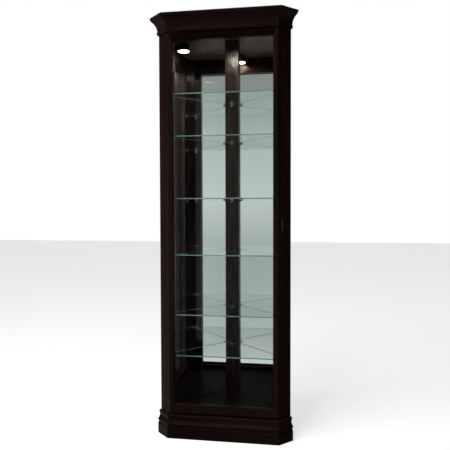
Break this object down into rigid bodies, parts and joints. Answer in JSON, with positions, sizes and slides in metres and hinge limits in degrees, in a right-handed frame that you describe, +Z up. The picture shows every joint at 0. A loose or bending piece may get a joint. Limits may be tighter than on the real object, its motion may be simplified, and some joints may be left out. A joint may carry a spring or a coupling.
{
  "type": "corner curio cabinet",
  "caption": "Five-sided corner display cabinet with a full-height framed glass door, mirrored back walls, glass shelves, crown and base mouldings and a lamp under its top.",
  "frame": {"origin": "centre of the footprint's bounding box, on the floor", "axes": "+Z up, -Y out of the door, +X to the right seen from the front"},
  "size_m": [0.6952, 0.388, 1.98],
  "materials": {
    "espresso_wood": "satin lacquer over dark stain",
    "inner_wood": "satin lacquer over dark stain",
    "backer_board": "matte hardboard",
    "mirror": "polished",
    "clear_glass": "polished",
    "satin_nickel": "satin",
    "steel": "zinc plated",
    "shelf_clip": "translucent satin",
    "lamp_metal": "dark bronze paint",
    "bulb": "clear capsule",
    "rubber": "matte"
  },
  "bodies": {
    "cabinet": {"back_panel_left": "backer_board", "back_panel_right": "backer_board", "back_post": "inner_wood", "base_deck": "inner_wood", "base_moulding_front": "espresso_wood", "base_moulding_left": "espresso_wood", "base_moulding_right": "espresso_wood", "base_rail_front": "espresso_wood", "base_rail_left": "inner_wood", "base_rail_right": "inner_wood", "cord_grommet": "rubber", "crown_front": "espresso_wood", "crown_left": "espresso_wood", "crown_right": "espresso_wood", "frieze_rail": "espresso_wood", "front_stile_left": "espresso_wood", "front_stile_right": "espresso_wood", "glass_shelf_1": "clear_glass", "glass_shelf_2": "clear_glass", "glass_shelf_3": "clear_glass", "glass_shelf_4": "clear_glass", "glass_shelf_5": "clear_glass", "glass_shelf_6": "clear_glass", "header_rail": "espresso_wood", "hinge_lower_case_leaf": "steel", "hinge_lower_pin": "steel", "hinge_upper_case_leaf": "steel", "hinge_upper_pin": "steel", "lamp_bulb": "bulb", "lamp_housing": "lamp_metal", "lamp_lens": "clear_glass", "mirror_left": "mirror", "mirror_right": "mirror", "rear_clip_1": "shelf_clip", "rear_clip_2": "shelf_clip", "rear_clip_3": "shelf_clip", "rear_clip_4": "shelf_clip", "rear_clip_5": "shelf_clip", "rear_clip_6": "shelf_clip", "side_post_left": "inner_wood", "side_post_right": "inner_wood", "threshold_rail": "espresso_wood", "top_panel": "inner_wood"},
    "door": {"door_glass": "clear_glass", "door_rail_bottom": "espresso_wood", "door_rail_top": "espresso_wood", "door_stile_left": "espresso_wood", "door_stile_right": "espresso_wood", "finger_pull": "satin_nickel", "glass_retainer": "espresso_wood", "hinge_lower_door_leaf": "steel", "hinge_upper_door_leaf": "steel", "lock_escutcheon": "satin_nickel"},
    "lock": {"lock_cylinder": "satin_nickel", "lock_cam": "steel"},
    "leveler_back_left": {"leveler_back_left": "steel"},
    "leveler_back_right": {"leveler_back_right": "steel"},
    "leveler_front_left": {"leveler_front_left": "steel"},
    "leveler_front_right": {"leveler_front_right": "steel"}
  },
  "joints": [
    {"name": "door_hinge", "type": "hinge", "parent": "cabinet", "child": "door", "pos_m": [-0.2725, -0.1285, 1], "axis": [0, 0, -1], "range_deg": [0, 110]},
    {"name": "lock_turn", "type": "hinge", "parent": "door", "child": "lock", "pos_m": [0.2659, -0.1351, 1.01], "axis": [-0.7071, 0.7071, 0], "range_deg": [0, 90]},
    {"name": "leveler_back_left_screw", "type": "slide", "parent": "cabinet", "child": "leveler_back_left", "axis": [0, 0, -1], "range_m": [0, 0.012]},
    {"name": "leveler_back_right_screw", "type": "slide", "parent": "cabinet", "child": "leveler_back_right", "axis": [0, 0, -1], "range_m": [0, 0.012]},
    {"name": "leveler_front_left_screw", "type": "slide", "parent": "cabinet", "child": "leveler_front_left", "axis": [0, 0, -1], "range_m": [0, 0.012]},
    {"name": "leveler_front_right_screw", "type": "slide", "parent": "cabinet", "child": "leveler_front_right", "axis": [0, 0, -1], "range_m": [0, 0.012]}
  ]
}
